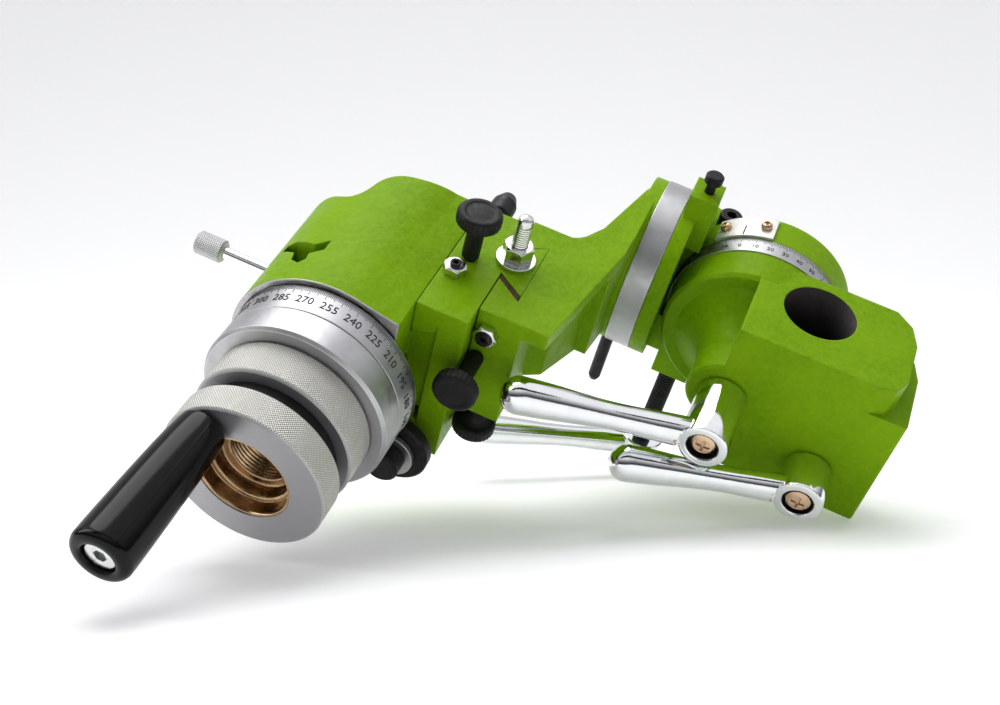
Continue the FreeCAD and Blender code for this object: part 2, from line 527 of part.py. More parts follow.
# ------------------------------------------------------------------------------- spindle housing
def make_barrel():
    """Barrel that swells a little to the rear left, cut off flat at the slide side."""
    axis = V(-1.2, HOUSING_BACK_Y, 0)
    barrel = Part.makeCone(HOUSING_R - 0.1, HOUSING_BACK_R + 0.1, 1.2 * HOUSING_BACK_Y,
                           V(0.1, -0.1 * HOUSING_BACK_Y, 0), axis)
    keep = block(-60, HOUSING_SIDE_X, HOUSING_FRONT_Y, HOUSING_BACK_Y, -60, 60)
    return barrel.common(keep)


def make_housing():
    """Barrel with a flat side and dovetail, cut back at the rear left in an S curve."""
    lean = math.radians(LEAN_DEG)
    edge_x = HOUSING_R * math.cos(lean)
    edge_z = HOUSING_R * math.sin(lean)
    side_z = edge_z - (HOUSING_SIDE_X - edge_x) / math.tan(lean)
    shoulder = prism_along_y([(0, 0), (edge_x, edge_z), (HOUSING_SIDE_X, side_z),
                              (HOUSING_SIDE_X, BLOCK_BOTTOM), (0, BLOCK_BOTTOM)],
                             HOUSING_FRONT_Y, HOUSING_BACK_Y)
    body = make_barrel().fuse(shoulder)
    s_curve = Part.BSplineCurve()
    s_curve.interpolate([V(-60, 76, -60), V(-44, 75.5, -60), V(-34, 71, -60), V(-25, 68, -60),
                         V(-20.6, 72, -60), V(-17.6, 80.5, -60), V(-11.5, 87.5, -60),
                         V(-2, 90.5, -60), V(12, 94, -60), V(31, 98.2, -60)])
    close = Part.makePolygon([V(31, 98.2, -60), V(31, 130, -60), V(-60, 130, -60), V(-60, 76, -60)])
    behind = Part.Face(Part.Wire([s_curve.toShape()] + close.Edges)).extrude(V(0, 0, 120))
    body = body.cut(behind)
    tail = [(HOUSING_SIDE_X - 1, -HALF_MOUTH + 0.5), (TAIL_X, -HALF_TIP), (TAIL_X, HALF_TIP),
            (HOUSING_SIDE_X - 1, HALF_MOUTH - 0.55)]
    body = body.fuse(prism_along_y(tail, CROSS_Y0 + 2.0, HOUSING_BACK_Y - 2.0))
    cavity = turned([(0.0, 0), (0.0, 41.0), (3.0, 41.0), (3.0, FRONT_BUSH_R), (33.0, FRONT_BUSH_R),
                     (33.0, 37.0), (50.6, 37.0), (54.0, REAR_BUSH_R), (120.0, REAR_BUSH_R),
                     (120.0, 0)])
    body = body.cut(cavity)
    body = body.cut(rod(V(STOP_X, 0, STOP_Z), Y_AXIS, STOP_DISC_R + 0.6,
                        STOP_DISC_BACK_Y + TRAVERSE + 0.6))
    body = body.cut(rod(V(-60, PIN_Y, 0), X_AXIS, PIN_BUSH_R, 26.0))
    window = [(-39.0, 28.8), (-38.5, 33.0), (-34.0, 33.0), (-23.5, 27.5), (-17.4, 31.0),
              (-17.4, 23.8), (-23.0, 20.4), (-22.2, 16.2), (-24.8, 13.4), (-29.4, 16.8),
              (-30.8, 22.6)]
    return body.cut(prism_along_z(window, 20.0, 60.0)).removeSplitter()


save("spindle_housing", make_housing())
save("front_bush", tube(V(0, 3.0, 0), Y_AXIS, FRONT_BUSH_R, JOURNAL_R + RUNNING, 28.0))
save("rear_bush", tube(V(0, 54.0, 0), Y_AXIS, REAR_BUSH_R, REAR_JOURNAL_R + RUNNING, 13.0))
save("thrust_washer", tube(V(0, 0.9, 0), Y_AXIS, 40.8, JOURNAL_R + 0.3, 2.0))
save("index_bush", tube(V(-47.4, PIN_Y, 0), X_AXIS, PIN_BUSH_R, PIN_R + RUNNING, 7.0))


# ------------------------------------------------------------------------------- spindle
def make_spindle():
    """Hollow spindle: front nose for the rings, two journals, disc seat, rear nose and taper."""
    outer = [(-49.4, SEAT_R), (0.1, SEAT_R), (0.1, JOURNAL_R), (32.0, JOURNAL_R), (32.0, 24.0),
             (DISC_Y0, 24.0), (DISC_Y0, SEAT_R), (DISC_Y1, SEAT_R), (DISC_Y1, REAR_JOURNAL_R),
             (90.0, REAR_JOURNAL_R), (90.0, NOSE_R), (NOSE_END_Y, NOSE_R)]
    inner = [(NOSE_END_Y, 17.0), (88.0, SPINDLE_BORE_R), (-30.0, SPINDLE_BORE_R), (-30.0, 18.3),
             (-49.4, 18.3)]
    return turned(outer + inner)


def make_index_disc():
    """Disc with notches round its rim; one notch faces the index pin."""
    disc = tube(V(0, DISC_Y0, 0), Y_AXIS, DISC_R, SEAT_R, DISC_Y1 - DISC_Y0)
    half = PIN_R + 0.35
    notch = block(-DISC_R - 2, -DISC_R + NOTCH_DEPTH, DISC_Y0 - 1, DISC_Y1 + 1, -half, half)
    for step in range(NOTCHES):
        cutter = notch.copy()
        cutter.rotate(V(0, 0, 0), Y_AXIS, 360.0 * step / NOTCHES)
        disc = disc.cut(cutter)
    return disc


def make_ring_nut():
    """Rear ring nut with four spanner slots."""
    ring = tube(V(0, 67.1, 0), Y_AXIS, 26.4, REAR_JOURNAL_R, 9.0)
    for step in range(4):
        slot = block(24.0, 30.0, 70.0, 80.0, -3.0, 3.0)
        slot.rotate(V(0, 0, 0), Y_AXIS, 90.0 * step + 45.0)
        ring = ring.cut(slot)
    return ring


save("spindle", make_spindle())
save("degree_ring", turned([(-13.9, HUB_R), (-13.9, 43.5), (0.0, DIAL_R), (0.0, HUB_R)]))
save("plain_flange", turned([(-30.0, SEAT_R), (-30.0, 42.8), (-28.6, FLANGE_R),
                             (-15.2, FLANGE_R), (-14.4, 42.6), (-13.9, 42.6), (-13.9, HUB_R),
                             (0.0, HUB_R), (0.0, SEAT_R)]))
save("knurled_ring", turned([(-49.5, SEAT_R), (-49.5, KNURL_R - 1.2), (-48.3, KNURL_R),
                             (-31.2, KNURL_R), (-30.0, KNURL_R - 1.0), (-30.0, SEAT_R)]))
save("index_disc", make_index_disc())
save("rear_ring_nut", make_ring_nut())


# ------------------------------------------------------------------------------- draw wheel
wheel = turned([(WHEEL_FRONT_Y, SEAT_R), (WHEEL_FRONT_Y, WHEEL_R - 1.0),
                (WHEEL_FRONT_Y + 1.0, WHEEL_R), (WHEEL_BACK_Y - 1.0, WHEEL_R),
                (WHEEL_BACK_Y, WHEEL_R - 1.0), (WHEEL_BACK_Y, SEAT_R)])
save("handwheel", wheel.cut(rod(V(HANDLE_X, WHEEL_FRONT_Y - 1, HANDLE_Z), Y_AXIS, 4.0, 13.0)))
save("draw_collar", turned([(-73.8, 21.0), (-73.8, SEAT_R), (WHEEL_BACK_Y, SEAT_R),
                            (WHEEL_BACK_Y, 18.2), (-40.0, 18.2), (-40.0, TUBE_R),
                            (-60.0, TUBE_R), (-60.0, 17.5), (-66.0, 17.5), (-67.0, 20.2)]))
save("draw_tube", tube(V(0, -46.0, 0), Y_AXIS, TUBE_R, TUBE_BORE_R, 126.0))
save("friction_washer", tube(V(0, WHEEL_BACK_Y, 0), Y_AXIS, WASHER_R, 18.3, 9.0))
handle_screw = rod(V(HANDLE_X, -146.8, HANDLE_Z), Y_AXIS, 4.0, 84.6)
handle_screw = handle_screw.fuse(rod(V(HANDLE_X, -147.8, HANDLE_Z), Y_AXIS, 6.6, 1.2))
handle_screw = handle_screw.cut(hex_prism(V(HANDLE_X, -143.0, HANDLE_Z), -Y_AXIS, 5.0, 8.0))
save("handle_screw", handle_screw.removeSplitter())
save("handle_grip", turned([(-75.2, 4.0 + RUNNING), (-75.2, 8.5), (-76.4, 10.4), (-84.0, 11.2),
                            (-120.0, 12.6), (-146.2, 13.2), (-148.8, 12.2), (-149.8, 10.4),
                            (-149.8, 7.2), (-146.4, 7.2), (-146.4, 4.0 + RUNNING)],
                           HANDLE_X, HANDLE_Z))


# ------------------------------------------------------------------------------- index plunger
PIN_LENGTH = 45.0
KNOB_ROOT = PIN_LENGTH - 3.0
index_pin = turned([(0, 0), (0, 2.0), (1.6, PIN_R), (PIN_LENGTH, PIN_R), (PIN_LENGTH, 0)])
save("index_pin", aimed(index_pin, V(PIN_TIP_X, PIN_Y, 0), -X_AXIS))
knob_profile = [(0, PIN_R), (0, 4.9), (0.8, 5.8), (13.2, 5.8), (14.0, 5.0), (14.0, 0), (3.0, 0),
                (3.0, PIN_R)]
save("index_knob", aimed(turned(knob_profile), V(PIN_TIP_X - KNOB_ROOT, PIN_Y, 0), -X_AXIS))
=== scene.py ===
import bmesh
import bpy
import json
import math
import numpy as np
from mathutils import Matrix, Vector


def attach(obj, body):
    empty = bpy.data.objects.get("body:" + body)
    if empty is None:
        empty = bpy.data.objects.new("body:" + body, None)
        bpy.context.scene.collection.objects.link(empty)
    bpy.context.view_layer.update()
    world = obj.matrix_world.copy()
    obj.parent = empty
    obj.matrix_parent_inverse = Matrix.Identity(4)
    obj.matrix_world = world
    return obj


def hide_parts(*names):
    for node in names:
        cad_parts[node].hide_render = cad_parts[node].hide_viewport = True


# Finish for an indexing work head. Shapes are worked out in millimetres from the spindle, as the
# solids are: X = 0, Z = 0 is the spindle axis along Y, and Y = 0 is the back of the degree ring.
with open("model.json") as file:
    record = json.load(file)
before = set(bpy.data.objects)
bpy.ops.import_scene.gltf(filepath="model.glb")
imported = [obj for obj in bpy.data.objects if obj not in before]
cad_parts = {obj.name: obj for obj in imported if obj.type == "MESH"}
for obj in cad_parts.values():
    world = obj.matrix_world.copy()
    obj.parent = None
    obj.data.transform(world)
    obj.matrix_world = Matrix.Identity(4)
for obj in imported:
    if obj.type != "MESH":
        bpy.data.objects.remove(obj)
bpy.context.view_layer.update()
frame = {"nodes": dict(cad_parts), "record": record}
NODES = frame["nodes"]
SLOT_OF = {part["node"]: part["material_slot"] for part in frame["record"]["subparts"]}
ORIGIN = np.array([196.0, 121.0, 0.0])  # the frame's origin, on the column bore
PAN_X = 169.0       # the pan swivel's axis, along Y
SWIVEL_R = 44.2     # outer radius of the pan dial
SPINDLE_X = -0.196  # the spindle axis in the frame, in metres
KNURL_R = 0.0374    # radius of the knurled ring and the wheel, in metres
KNOB_R = 0.0058     # radius of the index knob, in metres


# ------------------------------------------------------------------------------- shader helpers
class Finish:
    """One finish: a principled shader with short ways to add the nodes that drive it."""

    def __init__(self, name, colour, metallic, roughness):
        self.material = bpy.data.materials.new(name)
        self.material.use_nodes = True
        self.tree = self.material.node_tree
        self.shader = self.tree.nodes["Principled BSDF"]
        self.shader.inputs["Base Color"].default_value = (*colour, 1.0)
        self.shader.inputs["Metallic"].default_value = metallic
        self.shader.inputs["Roughness"].default_value = roughness
        self.place = self.add("ShaderNodeTexCoord").outputs["Object"]

    def add(self, kind, **settings):
        """Adds a node and sets its properties."""
        node = self.tree.nodes.new(kind)
        for key, value in settings.items():
            setattr(node, key, value)
        return node

    def join(self, source, target):
        """Links an output to an input."""
        self.tree.links.new(source, target)

    def feed(self, target, value):
        """Links value to target if it is an output, and sets it there if it is a number."""
        if isinstance(value, bpy.types.NodeSocket):
            self.join(value, target)
        else:
            target.default_value = value

    def maths(self, operation, first, second=0.0):
        """One arithmetic step on two values."""
        node = self.add("ShaderNodeMath", operation=operation)
        self.feed(node.inputs[0], first)
        self.feed(node.inputs[1], second)
        return node.outputs[0]

    def noise(self, scale, detail=3.0):
        """Cloudy noise over the piece; scale is in cells per metre."""
        node = self.add("ShaderNodeTexNoise")
        node.inputs["Scale"].default_value = scale
        node.inputs["Detail"].default_value = detail
        node.inputs["Roughness"].default_value = 0.55
        self.join(self.place, node.inputs["Vector"])
        return node.outputs["Fac"]

    def ramp(self, value, low, high, start=0.0, end=1.0):
        """Maps value from the span low to high onto start to end, and holds it there outside."""
        node = self.add("ShaderNodeMapRange")
        node.clamp = True
        self.feed(node.inputs["Value"], value)
        for key, number in (("From Min", low), ("From Max", high), ("To Min", start), ("To Max", end)):
            node.inputs[key].default_value = number
        return node.outputs["Result"]

    def blend(self, share, first, second):
        """A colour between two others."""
        node = self.add("ShaderNodeMix", data_type="RGBA")
        self.feed(node.inputs["Factor"], share)
        for socket, colour in ((node.inputs["A"], first), (node.inputs["B"], second)):
            self.feed(socket, (*colour, 1.0) if isinstance(colour, tuple) else colour)
        return node.outputs["Result"]

    def paint(self, colour, roughness=None):
        """Drives the colour, and the roughness where one is given."""
        self.join(colour, self.shader.inputs["Base Color"])
        if roughness is not None:
            self.join(roughness, self.shader.inputs["Roughness"])

    def bump(self, height, depth, strength, normal=None):
        """Raises the surface by height times depth metres, on top of normal if there is one."""
        node = self.add("ShaderNodeBump")
        node.inputs["Strength"].default_value = strength
        node.inputs["Distance"].default_value = depth
        self.join(height, node.inputs["Height"])
        if normal is not None:
            self.join(normal, node.inputs["Normal"])
        self.join(node.outputs["Normal"], self.shader.inputs["Normal"])

    def soft_edges(self, radius):
        """The normal of edges rounded to radius, and how much it differs from the flat one."""
        rounded = self.add("ShaderNodeBevel", samples=6)
        rounded.inputs["Radius"].default_value = radius
        plain = self.add("ShaderNodeNewGeometry").outputs["Normal"]
        dot = self.add("ShaderNodeVectorMath", operation="DOT_PRODUCT")
        self.join(rounded.outputs["Normal"], dot.inputs[0])
        self.join(plain, dot.inputs[1])
        return rounded.outputs["Normal"], self.ramp(dot.outputs["Value"], 0.995, 0.86)

    def round_axis(self, axis_x, axis_z):
        """Angle round a line along Y, distance from it, and the place along it, in metres."""
        parts = self.add("ShaderNodeSeparateXYZ")
        self.join(self.place, parts.inputs[0])
        across = self.maths("SUBTRACT", parts.outputs["X"], axis_x)
        upward = self.maths("SUBTRACT", parts.outputs["Z"], axis_z)
        angle = self.maths("ARCTAN2", across, upward)
        radius = self.maths("SQRT", self.maths("ADD", self.maths("MULTIPLY", across, across),
                                               self.maths("MULTIPLY", upward, upward)))
        return angle, radius, parts.outputs["Y"]

    def diamonds(self, turn, along, pitch):
        """Diamond knurl: the sum of two sines, one slanting each way, from 0 in the roots to 1."""
        step = 2 * math.pi / pitch
        left = self.maths("SINE", self.maths("MULTIPLY", self.maths("ADD", turn, along), step))
        right = self.maths("SINE", self.maths("MULTIPLY", self.maths("SUBTRACT", turn, along), step))
        return self.ramp(self.maths("ADD", left, right), -1.7, 1.7)


# ------------------------------------------------------------------------------- the finishes
def make_enamel():
    """Thick sprayed enamel on a rough casting: mottled colour, orange peel, and pale thin edges that are
    partly wear and partly painted highlight.
    """
    finish = Finish("work_head_enamel", (0.19, 0.42, 0.006), 0.0, 0.36)
    cloud = finish.ramp(finish.noise(28.0, 4.0), 0.3, 0.7)
    grain = finish.ramp(finish.noise(420.0, 3.0), 0.32, 0.68)
    base = finish.blend(cloud, (0.165, 0.325, 0.002), (0.225, 0.4, 0.005))
    flecked = finish.blend(finish.maths("MULTIPLY", grain, 0.5), base, (0.27, 0.45, 0.012))
    rounded, edge = finish.soft_edges(0.0011)
    # Pale edges: partly wear in patches, partly a painted highlight laid along the edges.
    edge_wear_and_highlight = finish.maths("MULTIPLY", edge, finish.ramp(finish.noise(150.0, 4.0), 0.38, 0.62, 0.2, 0.75))
    painted = finish.blend(edge_wear_and_highlight, flecked, (0.36, 0.56, 0.06))
    parts = finish.add("ShaderNodeSeparateXYZ")
    finish.join(finish.place, parts.inputs[0])
    # The housing's front face is turned bare, so it is metal there instead of enamel.
    faced = finish.ramp(parts.outputs["Y"], -0.1196, -0.1198)
    finish.paint(finish.blend(faced, painted, (0.5, 0.5, 0.49)),
                 finish.ramp(finish.noise(90.0, 4.0), 0.3, 0.7, 0.3, 0.46))
    finish.join(faced, finish.shader.inputs["Metallic"])
    waves = finish.maths("ADD", finish.maths("MULTIPLY", finish.noise(130.0, 2.0), 0.8),
                         finish.maths("MULTIPLY", finish.noise(900.0, 2.0), 0.22))
    finish.bump(waves, 0.0011, 0.8, rounded)
    finish.shader.inputs["Specular IOR Level"].default_value = 0.08
    finish.shader.inputs["Coat Weight"].default_value = 0.03
    finish.shader.inputs["Coat Roughness"].default_value = 0.2
    return finish.material


def make_turned(name, light, dark, roughness, pitch):
    """Turned metal: fine rings round the spindle, faint stains, and bright edges that are partly wear and
    partly painted highlight.
    """
    finish = Finish(name, light, 1.0, roughness)
    angle, radius, along = finish.round_axis(SPINDLE_X, 0.0)
    rings = finish.maths("SINE", finish.maths("MULTIPLY", finish.maths("ADD", radius, along),
                                              2 * math.pi / pitch))
    stain = finish.ramp(finish.noise(45.0, 5.0), 0.35, 0.7)
    rounded, edge = finish.soft_edges(0.0006)
    tone = finish.blend(stain, light, dark)
    # The edges are lightened towards near white: partly wear, partly painted highlight.
    finish.paint(finish.blend(edge, tone, (0.9, 0.9, 0.91)),
                 finish.ramp(finish.noise(260.0, 3.0), 0.3, 0.7, roughness - 0.07, roughness + 0.08))
    finish.bump(finish.maths("ADD", rings, finish.noise(1500.0, 1.0)), 0.00002, 0.35, rounded)
    return finish.material


def make_knurled():
    """Knurl on the wheel and the ring: bright on the crests, with painted shade darkening the roots."""
    finish = Finish("diamond_knurl", (0.62, 0.61, 0.57), 0.7, 0.42)
    angle, radius, along = finish.round_axis(SPINDLE_X, 0.0)
    crest = finish.diamonds(finish.maths("MULTIPLY", angle, KNURL_R), along, 0.00125)
    rim = finish.ramp(radius, 0.0366, 0.0371)
    height = finish.maths("MULTIPLY", crest, rim)
    grime = finish.ramp(finish.noise(120.0, 4.0), 0.3, 0.75)
    # Painted shade: the roots are darkened against the crests, where shade falls between them.
    root_shaded_knurl = finish.blend(crest, (0.36, 0.355, 0.33), (0.84, 0.83, 0.8))
    dulled = finish.blend(finish.maths("MULTIPLY", grime, 0.35), root_shaded_knurl, (0.45, 0.43, 0.36))
    finish.paint(finish.blend(rim, (0.42, 0.42, 0.43), dulled),
                 finish.ramp(finish.noise(300.0, 3.0), 0.3, 0.7, 0.33, 0.48))
    rounded, _ = finish.soft_edges(0.0005)
    finish.bump(height, 0.00032, 0.8, rounded)
    return finish.material


def make_small_knurl():
    """The same knurl, finer, round the index knob, which lies along X."""
    finish = Finish("index_knob_knurl", (0.6, 0.6, 0.6), 0.9, 0.36)
    parts = finish.add("ShaderNodeSeparateXYZ")
    finish.join(finish.place, parts.inputs[0])
    across = finish.maths("SUBTRACT", parts.outputs["Y"], (42.3 - ORIGIN[1]) / 1000)
    turn = finish.maths("MULTIPLY", finish.maths("ARCTAN2", across, parts.outputs["Z"]), KNOB_R)
    crest = finish.diamonds(turn, parts.outputs["X"], 0.0012)
    # Painted shade darkens the knurl's roots against its crests.
    finish.paint(finish.blend(crest, (0.2, 0.2, 0.2), (0.82, 0.82, 0.82)),
                 finish.ramp(finish.noise(300.0), 0.3, 0.7, 0.28, 0.42))
    finish.bump(crest, 0.0003, 0.8)
    return finish.material


def make_metal(name, light, dark, metallic, low, high, scale=160.0, wear=0.0006, relief=0.00003):
    """Plain metal or plastic: two tones in a cloud, uneven gloss, a fine grain, and soft edges lightened
    partly as wear and partly as painted highlight.
    """
    finish = Finish(name, light, metallic, (low + high) / 2)
    cloud = finish.ramp(finish.noise(scale, 4.0), 0.3, 0.7)
    rounded, edge = finish.soft_edges(wear)
    # bright is the edge colour: partly wear, partly painted highlight.
    bright = tuple(min(1.0, 1.25 * value + 0.03) for value in light)
    finish.paint(finish.blend(finish.maths("MULTIPLY", edge, 0.7),
                              finish.blend(cloud, light, dark), bright),
                 finish.ramp(finish.noise(scale * 2.3, 3.0), 0.3, 0.7, low, high))
    finish.bump(finish.noise(1300.0, 2.0), relief, 0.6, rounded)
    return finish.material


FINISHES = {
    "green_enamel": make_enamel(),
    "satin_steel": make_turned("turned_satin_steel", (0.52, 0.52, 0.53), (0.41, 0.41, 0.42), 0.4, 0.0007),
    "knurled_steel": make_knurled(),
    "chrome": make_metal("chrome_plate", (0.86, 0.87, 0.88), (0.8, 0.81, 0.83), 1.0, 0.04, 0.11),
    "zinc": make_metal("zinc_plate", (0.8, 0.81, 0.8), (0.62, 0.63, 0.6), 1.0, 0.14, 0.3),
    "black_oxide": make_metal("black_oxide", (0.03, 0.029, 0.032), (0.014, 0.014, 0.015), 0.4, 0.3, 0.5),
    "bright_steel": make_metal("ground_steel", (0.52, 0.5, 0.48), (0.36, 0.33, 0.3), 1.0, 0.25, 0.42),
    "brass": make_metal("machined_brass", (0.56, 0.42, 0.27), (0.4, 0.28, 0.17), 1.0, 0.14, 0.28),
    "bronze": make_metal("sintered_bronze", (0.5, 0.32, 0.15), (0.36, 0.21, 0.1), 1.0, 0.3, 0.5),
    "black_plastic": make_metal("satin_phenolic", (0.022, 0.021, 0.022), (0.012, 0.011, 0.012),
                                0.0, 0.36, 0.56, 400.0, 0.0005, 0.00006),
    "gloss_plastic": make_metal("polished_phenolic", (0.006, 0.006, 0.007), (0.004, 0.004, 0.004),
                                0.0, 0.1, 0.2, 90.0, 0.0007, 0.00001),
    "fibre": make_metal("pressed_fibre", (0.012, 0.012, 0.012), (0.006, 0.006, 0.006), 0.0, 0.55, 0.75),
    "pale_brass": make_metal("passivated_brass", (0.78, 0.58, 0.42), (0.6, 0.4, 0.26), 1.0, 0.16, 0.32),
    "plate_steel": make_metal("scale_plate", (0.74, 0.74, 0.7), (0.6, 0.6, 0.56), 0.6, 0.24, 0.38),
}
for slot in ("gloss_plastic", "black_plastic"):
    shader = FINISHES[slot].node_tree.nodes["Principled BSDF"]
    shader.inputs["Specular IOR Level"].default_value = 0.3
OILY_STEEL = make_metal("oily_brown_steel", (0.1, 0.055, 0.03), (0.04, 0.03, 0.02), 0.5, 0.4, 0.6)
# Near-black bore metal: the bore's own colour darkened into painted shade.
BORE_METAL_AND_SHADE = make_metal("bore_metal_with_painted_shade", (0.035, 0.03, 0.028), (0.02, 0.018, 0.017), 0.4, 0.5, 0.7)
INK = make_metal("scale_ink", (0.02, 0.02, 0.022), (0.05, 0.05, 0.05), 0.0, 0.45, 0.65)
SMALL_KNURL = make_small_knurl()
for name, node in NODES.items():
    node.data.materials.clear()
    node.data.materials.append(FINISHES[SLOT_OF[name]])
NODES["handwheel"].data.materials[0] = FINISHES["knurled_steel"]
NODES["index_knob"].data.materials[0] = SMALL_KNURL
NODES["lift_gib"].data.materials[0] = OILY_STEEL
NODES["cross_gib"].data.materials[0] = FINISHES["green_enamel"]


# ------------------------------------------------------------------------------- surface helpers
def build(name, points, faces, slot, body, stands_for=(), material=None, sharp=32.0):
    """Puts points in millimetres from the spindle and faces into a closed piece on a body."""
    mesh = bpy.data.meshes.new(name)
    mesh.from_pydata(((points - ORIGIN) / 1000).tolist(), [], faces.tolist())
    shell = bmesh.new()
    shell.from_mesh(mesh)
    bmesh.ops.remove_doubles(shell, verts=shell.verts, dist=2e-6)
    bmesh.ops.recalc_face_normals(shell, faces=shell.faces)
    shell.to_mesh(mesh)
    shell.free()
    mesh.shade_smooth()
    mesh.set_sharp_from_angle(angle=math.radians(sharp))
    piece = bpy.data.objects.new(name, mesh)
    bpy.context.scene.collection.objects.link(piece)
    piece.data.materials.append(material or FINISHES[slot])
    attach(piece, body)
    if stands_for:
        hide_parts(*stands_for)
    return piece


def grid_faces(rows, columns, first=0):
    """Quads of a grid of rows by columns whose last column meets its first."""
    row, column = np.meshgrid(np.arange(rows - 1), np.arange(columns), indexing="ij")
    after = (column + 1) % columns
    corners = (row * columns + column, row * columns + after, (row + 1) * columns + after,
               (row + 1) * columns + column)
    return np.stack(corners, -1).reshape(-1, 4) + first


def frame_round(axis):
    """Two directions square to axis and to each other."""
    axis = np.asarray(axis, float) / np.linalg.norm(axis)
    helper = np.array([0, 0, 1.0]) if abs(axis[2]) < 0.9 else np.array([0, 1.0, 0])
    side = np.cross(helper, axis)
    side /= np.linalg.norm(side)
    return axis, side, np.cross(axis, side)


def eased(points, steps):
    """A smooth curve through (along, radius) points: each span is a cubic whose slopes at its
    ends are half the chord between the neighbours, sampled steps times."""
    knots = np.asarray(points, float)
    padded = np.vstack([2 * knots[0] - knots[1], knots, 2 * knots[-1] - knots[-2]])
    t = np.linspace(0, 1, steps, endpoint=False)[:, None]
    spans = []
    for before, start, end, after in zip(padded[:-3], padded[1:-2], padded[2:-1], padded[3:]):
        spans.append(0.5 * (2 * start + (end - before) * t
                            + (2 * before - 5 * start + 4 * end - after) * t ** 2
                            + (3 * start - before - 3 * end + after) * t ** 3))
    return np.vstack(spans + [knots[-1:]])


def revolve(profile, start, axis, sides, relief=None):
    """Point grid: start + along x axis + (radius + relief(along, angle)) x (cos, sin) round it."""
    axis, side, up = frame_round(axis)
    angle = np.linspace(0, 2 * math.pi, sides, endpoint=False)
    along = np.repeat(profile[:, :1], sides, 1)
    radius = np.repeat(profile[:, 1:2], sides, 1)
    if relief is not None:
        radius = np.where(radius > 0, radius + relief(along, angle[None, :]), 0)
    ring = np.cos(angle)[:, None] * side + np.sin(angle)[:, None] * up
    points = np.asarray(start, float) + along[..., None] * axis + radius[..., None] * ring[None]
    return points.reshape(-1, 3), grid_faces(len(profile), sides)


def turned(name, profile, start, axis, slot, body, stands_for=(), sides=96, relief=None, **extra):
    """A profile turned about a line, closed at its poles or back on itself."""
    points, faces = revolve(np.asarray(profile, float), start, axis, sides, relief)
    return build(name, points, faces, slot, body, stands_for, **extra)


def straight(low, high, radius, steps):
    """The (along, radius) points of a plain cylinder, in steps short enough to hold a thread."""
    return np.column_stack([np.linspace(low, high, steps), np.full(steps, radius)])


def helix(pitch, depth, low, high):
    """Thread form: radius drops by depth times a triangle wave of along / pitch - angle / turn."""
    def relief(along, angle):
        phase = (along / pitch - angle / (2 * math.pi)) % 1.0
        fade = np.clip(np.minimum(along - low, high - along) / (0.6 * pitch), 0, 1)
        return -depth * fade * np.abs(2 * phase - 1)
    return relief


# ------------------------------------------------------------------------------- levers
def make_lever(name, hub_start, hub_axis, hub_len, arm_root, ball, recess, body):
    """A turned hub with a recessed face, and an arm whose radius eases from root to waist to
    ball; the two closed shells overlap inside the hub, where the arm is held below its face."""
    hub = np.array([(0, 0), (0, 11.2), (0.8, 12), (hub_len * 0.5, 12), (hub_len - 1.4, 12),
                    (hub_len - 0.6, 11.7), (hub_len - 0.1, 10.9), (hub_len, 10.2), (hub_len, 8.2),
                    (hub_len - 0.5, 7.6), (hub_len - recess, 7.4), (hub_len - recess, 0)], float)
    points, faces = revolve(hub, hub_start, hub_axis, 72)
    line = np.asarray(ball, float) - np.asarray(arm_root, float)
    reach = np.linalg.norm(line)
    waist = eased([(4.0, 7.4), (reach * 0.22, 7.2), (reach * 0.42, 6.5), (reach * 0.6, 6.8),
                   (reach * 0.82, 8.2), (reach, 9.0)], 12)
    turn = np.radians(np.linspace(6, 90, 15))
    cap = np.column_stack([reach + 9.0 * np.sin(turn), 9.0 * np.cos(turn)])
    cap[-1, 1] = 0
    arm = np.vstack([[(4.0, 0)], waist, cap])
    arm_points, arm_faces = revolve(arm, arm_root, line, 64)
    hub_axis = np.asarray(hub_axis, float)
    offset = arm_points - np.asarray(hub_start, float)
    height = offset @ hub_axis
    away = np.linalg.norm(offset - height[:, None] * hub_axis, axis=1)
    limit = np.where(away < 8.6, hub_len - recess - 0.3, np.where(away < 11.9, hub_len - 0.8, 1e3))
    arm_points -= np.maximum(height - limit, 0)[:, None] * hub_axis
    build(name, np.vstack([points, arm_points]), np.vstack([faces, arm_faces + len(points)]),
          "chrome", body, (body,), sharp=28.0)
    floor = hub_len - recess
    # A black ring on the recess floor and wall: painted shade inside the hub's recess.
    shade_ring = [(floor + 0.03, 6.25), (floor + 0.03, 7.37), (hub_len - 0.6, 7.37), (hub_len - 0.6, 7.27),
              (floor + 0.15, 7.27), (floor + 0.15, 6.25), (floor + 0.03, 6.25)]
    turned(body + "_recess_painted_shade", shade_ring, hub_start, hub_axis, "black_oxide", body, sides=64)


make_lever("pan_lever_chromed", (PAN_X, 86.1, 0), (0, -1, 0), 37.7, (PAN_X, 56.6, 0),
           (85.4, 20, 13), 4.0, "pan_lever")
make_lever("column_lever_chromed", (221, 86.1, -22.3), (0, -1, 0), 23.7, (221, 70.6, -22.3),
           (140.3, 38.5, -18.5), 3.0, "column_lever")
make_lever("elbow_lever_chromed", (140.6, 156, -112), (0, 0, -1), 20.0, (140.6, 156, -121),
           (56.5, 113.5, -118.5), 2.0, "elbow_lever")


